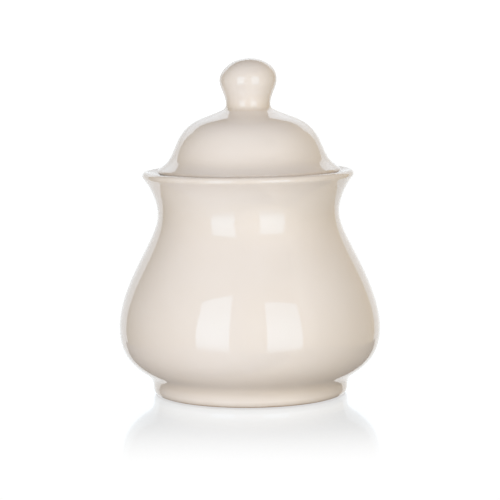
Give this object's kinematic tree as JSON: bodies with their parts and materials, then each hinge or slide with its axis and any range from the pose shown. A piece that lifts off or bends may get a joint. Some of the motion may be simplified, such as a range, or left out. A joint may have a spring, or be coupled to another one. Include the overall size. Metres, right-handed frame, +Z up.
{
  "type": "lidded sugar bowl",
  "caption": "Round-bellied glazed ceramic sugar bowl on a foot ring, with a flared lip and a lift-off domed lid with a ball knob.",
  "frame": {"origin": "on the surface that it stands on, under the middle of the foot ring", "axes": "+Z up along the axis that both pieces are turned about; +X and +Y are any two level directions, as the shape is round"},
  "size_m": [0.1002, 0.1002, 0.1287],
  "materials": {
    "bowl_glaze": "glossy cream glaze, bare clay on the foot ring's contact face",
    "lid_glaze": "glossy cream glaze"
  },
  "bodies": {
    "bowl": {"bowl": "bowl_glaze"},
    "lid": {"lid": "lid_glaze"}
  },
  "joints": [
    {"name": "lid_lift", "type": "slide", "parent": "bowl", "child": "lid", "axis": [0, 0, 1], "range_m": [0, 0.1]}
  ]
}
